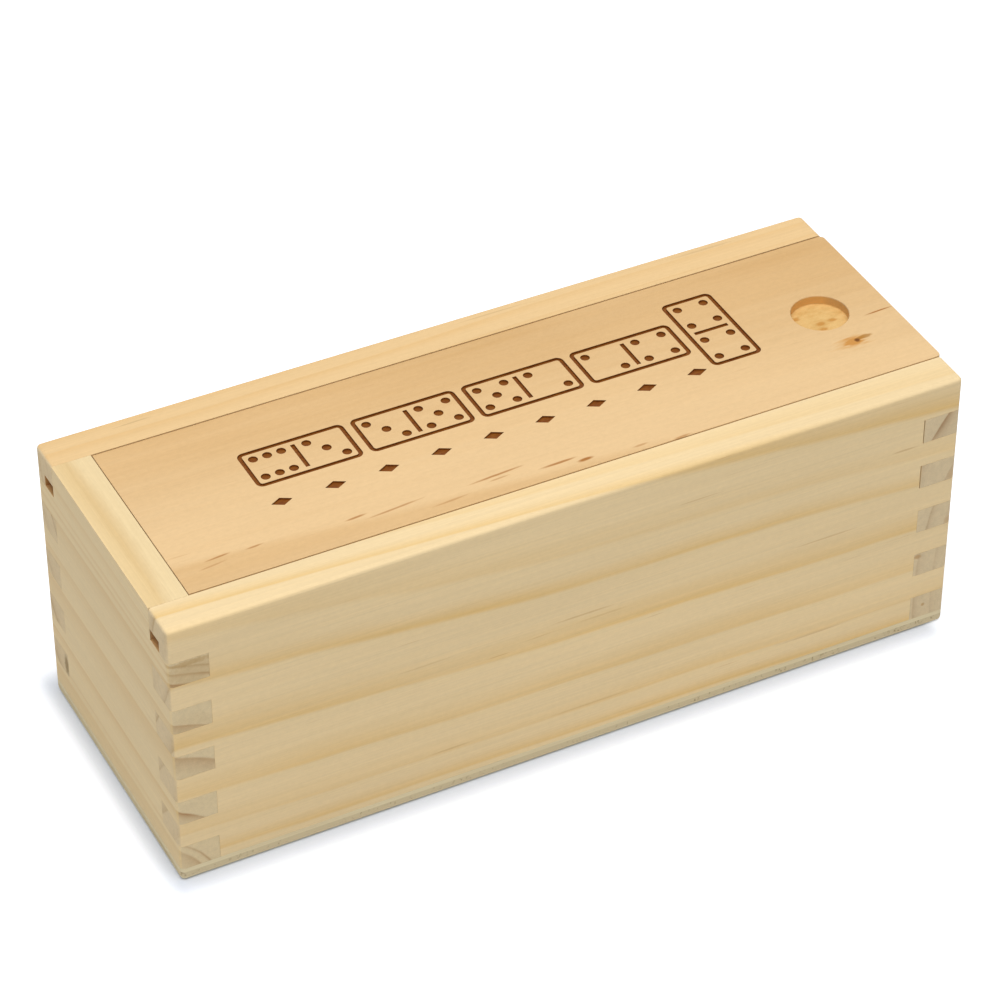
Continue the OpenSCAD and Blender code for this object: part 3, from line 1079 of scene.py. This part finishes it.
def buildStudio():
    world = bpy.data.worlds.new("studio")
    bpy.context.scene.world = world
    world.use_nodes = True
    tree = world.node_tree
    background = tree.nodes["Background"]
    seen = seenDirectly(tree)
    feed(tree, background.inputs["Color"], mixNode(tree, seen, studio["worldColour"], (1, 1, 1, 1)))
    feed(tree, background.inputs["Strength"],
         mathNode(tree, "MULTIPLY_ADD", seen, 1.0 - studio["worldLevel"], studio["worldLevel"]))

    lamp = bpy.data.lights.new("softKey", "AREA")
    lamp.size = studio["keySize"]
    lamp.energy = studio["keyPower"]
    lamp.color = studio["keyColour"]
    key = bpy.data.objects.new("softKey", lamp)
    key.location = studio["keyPlace"]
    key.rotation_mode = "QUATERNION"
    key.rotation_quaternion = (-Vector(studio["keyPlace"])).to_track_quat("-Z", "Y")
    bpy.context.scene.collection.objects.link(key)

    bm = bmesh.new()
    bmesh.ops.create_grid(bm, x_segments=1, y_segments=1, size=studio["floorSize"] / 2)
    mesh = bpy.data.meshes.new("studioFloor")
    bm.to_mesh(mesh)
    bm.free()
    floor = bpy.data.objects.new("studioFloor", mesh)
    bpy.context.scene.collection.objects.link(floor)
    material, tree, shader = startMaterial("paleFloor")
    feed(tree, shader.inputs["Base Color"],
         mixNode(tree, seenDirectly(tree), studio["floorColour"], studio["floorSeen"]))
    shader.inputs["Roughness"].default_value = 1.0
    shader.inputs["Specular IOR Level"].default_value = 0.0
    shader.inputs["Emission Color"].default_value = (1, 1, 1, 1)
    # less lift near the box paints a soft shadow there
    lift = mathNode(tree, "MULTIPLY", paintedShadowFade(tree), studio["floorLift"])
    feed(tree, shader.inputs["Emission Strength"], mathNode(tree, "MULTIPLY", seenDirectly(tree), lift))
    mesh.materials.append(material)
    print("set up the studio")


# The photo's viewpoint: angles in degrees, and the point that the camera looks at
viewpoint = {
    "target": (0.0012, 0.00412, 0.03578),
    "distance": 0.7829,
    "azimuth": -27.06,
    "elevation": 38.63,
    "roll": 0.04,
    "lens": 144.35,
    "sensor": 36.0,
}


def buildCamera():
    azimuth = math.radians(viewpoint["azimuth"])
    elevation = math.radians(viewpoint["elevation"])
    back = Vector((math.sin(azimuth) * math.cos(elevation), -math.cos(azimuth) * math.cos(elevation),
                   math.sin(elevation)))
    data = bpy.data.cameras.new("photoCamera")
    data.lens = viewpoint["lens"]
    data.sensor_width = viewpoint["sensor"]
    data.clip_start = 0.01
    camera = bpy.data.objects.new("photoCamera", data)
    camera.location = Vector(viewpoint["target"]) + back * viewpoint["distance"]
    camera.rotation_mode = "QUATERNION"
    turn = (-back).to_track_quat("-Z", "Y")
    camera.rotation_quaternion = turn @ Quaternion((0, 0, 1), math.radians(viewpoint["roll"]))
    bpy.context.scene.collection.objects.link(camera)
    bpy.context.scene.camera = camera
    bpy.context.scene.view_settings.view_transform = "Standard"
    print("placed the camera")


buildStudio()
buildCamera()
